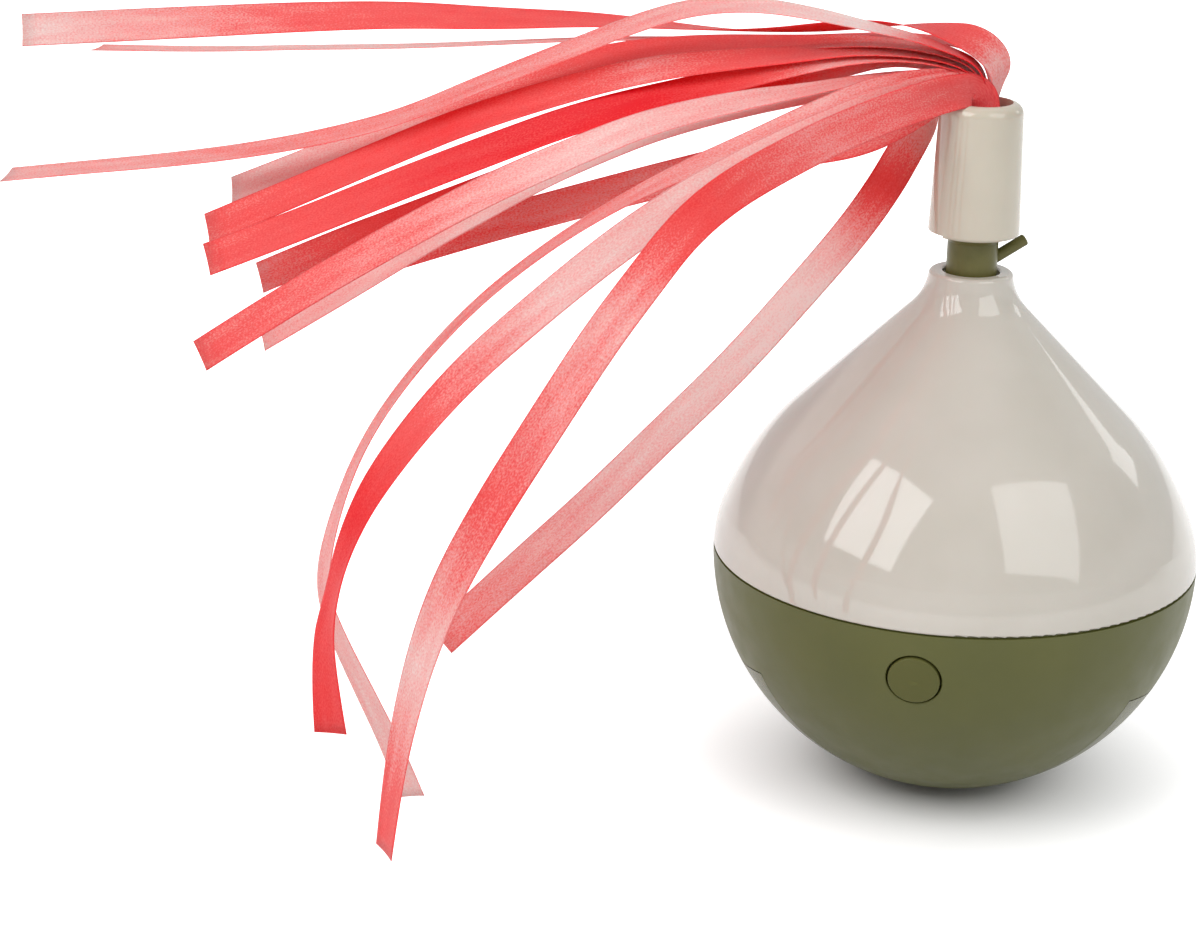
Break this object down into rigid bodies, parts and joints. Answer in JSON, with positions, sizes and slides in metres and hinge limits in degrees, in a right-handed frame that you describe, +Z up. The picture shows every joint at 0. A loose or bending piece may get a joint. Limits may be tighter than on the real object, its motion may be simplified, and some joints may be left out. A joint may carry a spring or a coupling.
{
  "type": "electronic hide-and-seek cat toy",
  "caption": "Roly-poly motor housing with a slim neck, a turning spindle and a push-on cap that swings a bunch of satin ribbons for a cat to chase.",
  "frame": {"origin": "middle of the flat foot, on the surface that the toy stands on", "axes": "+Z up along the spindle, +X to the right and -Y to the front, where the power button is"},
  "size_m": [0.2293, 0.1515, 0.1382],
  "materials": {
    "cream_shell": "high gloss",
    "cream_cap": "gloss",
    "green_shell": "soft satin",
    "green_button": "satin",
    "green_spindle": "satin",
    "red_satin": "satin weave",
    "screw_steel": "zinc plated",
    "cell_jacket": "plain printed sleeve",
    "contact_metal": "nickel plated",
    "motor_can": "zinc plated",
    "shaft_steel": "ground",
    "pinion_brass": "cut brass",
    "gear_white": "moulded",
    "gearbox_plastic": "moulded",
    "anchor_plastic": "moulded",
    "circuit_board": "solder mask",
    "component_black": "moulded",
    "sensor_can": "plated"
  },
  "bodies": {
    "housing": {"upper_housing": "cream_shell", "lower_housing": "green_shell", "housing_screws": "screw_steel", "gearbox_screws": "screw_steel", "board_screws": "screw_steel", "battery_cell_1": "cell_jacket", "battery_cell_2": "cell_jacket", "battery_cell_3": "cell_jacket", "positive_contact": "contact_metal", "negative_contact": "contact_metal", "bridge_contact_right": "contact_metal", "bridge_contact_left": "contact_metal", "drive_motor": "motor_can", "gear_pin": "shaft_steel", "thrust_washer": "shaft_steel", "gearbox_base": "gearbox_plastic", "gearbox_cover": "gearbox_plastic", "neck_bush": "gear_white", "control_board": "circuit_board", "push_switch": "component_black", "controller_chip": "component_black", "capacitor": "component_black", "motion_sensor": "sensor_can"},
    "spindle": {"ribbon_spindle": "green_spindle", "output_gear": "gear_white"},
    "cap": {"ribbon_cap": "cream_cap", "ribbon_anchor": "anchor_plastic", "ribbon_01": "red_satin", "ribbon_02": "red_satin", "ribbon_03": "red_satin", "ribbon_04": "red_satin", "ribbon_05": "red_satin", "ribbon_06": "red_satin", "ribbon_07": "red_satin", "ribbon_08": "red_satin", "ribbon_09": "red_satin", "ribbon_10": "red_satin", "ribbon_11": "red_satin", "ribbon_12": "red_satin", "ribbon_13": "red_satin", "ribbon_14": "red_satin"},
    "reducer": {"reduction_gear": "gear_white"},
    "rotor": {"motor_shaft": "shaft_steel", "motor_pinion": "pinion_brass"},
    "button": {"power_button": "green_button"},
    "door": {"battery_door": "green_shell", "door_screws": "screw_steel"}
  },
  "joints": [
    {"name": "spindle_spin", "type": "hinge", "parent": "housing", "child": "spindle", "pos_m": [0, 0, 0.05], "axis": [0, 0, 1], "continuous": true},
    {"name": "cap_pull", "type": "slide", "parent": "spindle", "child": "cap", "axis": [0, 0, 1], "range_m": [0, 0.014]},
    {"name": "reducer_spin", "type": "hinge", "parent": "housing", "child": "reducer", "pos_m": [0.00852, 0.01111, 0.05], "axis": [0, 0, 1], "continuous": true},
    {"name": "motor_spin", "type": "hinge", "parent": "housing", "child": "rotor", "pos_m": [0.01702, 0.00194, 0.05], "axis": [0, 0, 1], "continuous": true},
    {"name": "button_press", "type": "slide", "parent": "housing", "child": "button", "axis": [0.1176, 0.9718, 0.2045], "range_m": [0, 0.0008], "stiffness_N_per_m": 1200, "springref_m": -0.0003},
    {"name": "door_lift", "type": "slide", "parent": "housing", "child": "door", "axis": [0, 0, -1], "range_m": [0, 0.025]}
  ],
  "couplings": [
    {"joint": "reducer_spin", "follows": "spindle_spin", "ratio": -3.6667},
    {"joint": "motor_spin", "follows": "spindle_spin", "ratio": 14.667}
  ]
}
